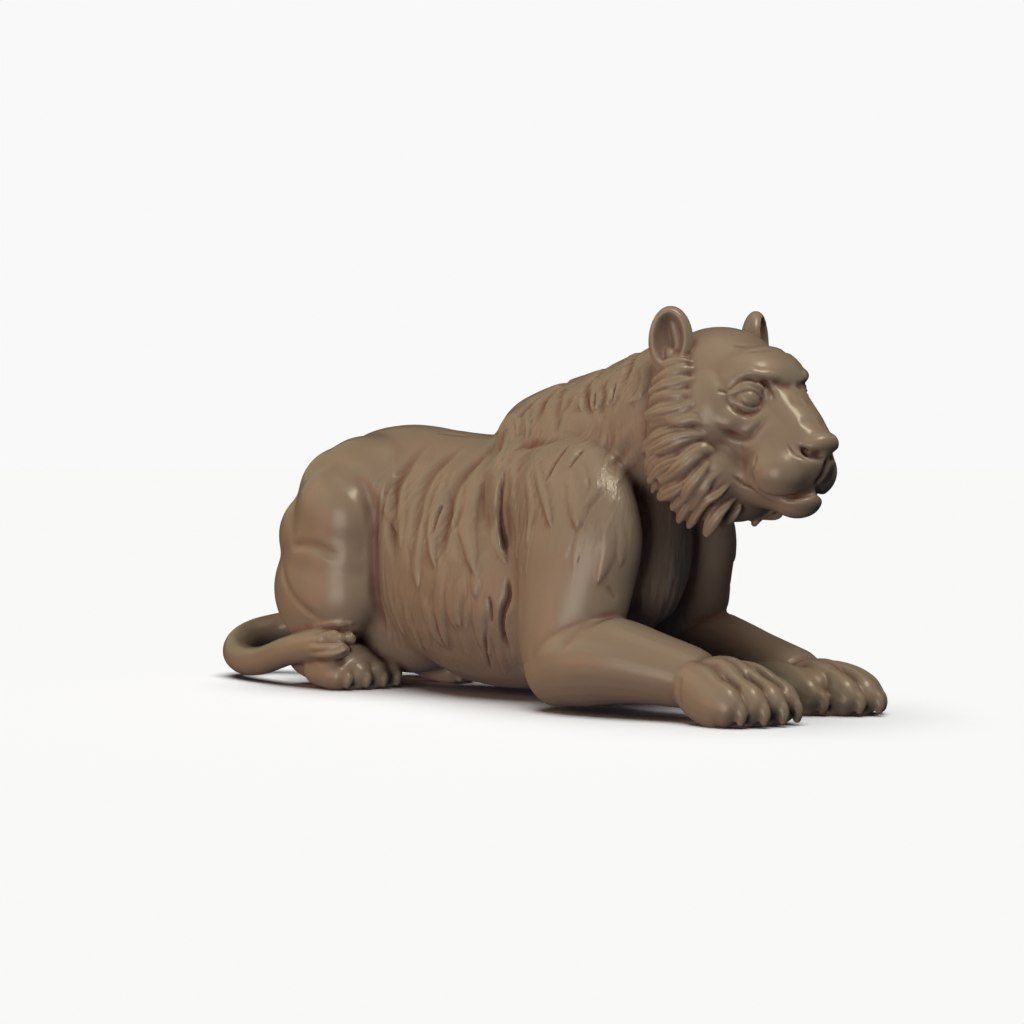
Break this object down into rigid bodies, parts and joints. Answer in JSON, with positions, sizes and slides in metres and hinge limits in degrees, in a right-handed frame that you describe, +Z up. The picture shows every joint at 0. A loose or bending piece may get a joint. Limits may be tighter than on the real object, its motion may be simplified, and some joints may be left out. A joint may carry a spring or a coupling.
{
  "type": "tiger figurine",
  "caption": "Lying tiger figurine in clay-brown cast resin, head up, forepaws stretched forward, tail looped behind.",
  "frame": {"origin": "on the ground, under the middle of the box around the figurine", "axes": "+Z up, the tiger's nose points to -Y, its right side is toward -X"},
  "size_m": [0.0782, 0.2324, 0.1127],
  "materials": {
    "clay": "satin"
  },
  "bodies": {
    "root": {"tiger_figurine": "clay"}
  },
  "joints": []
}
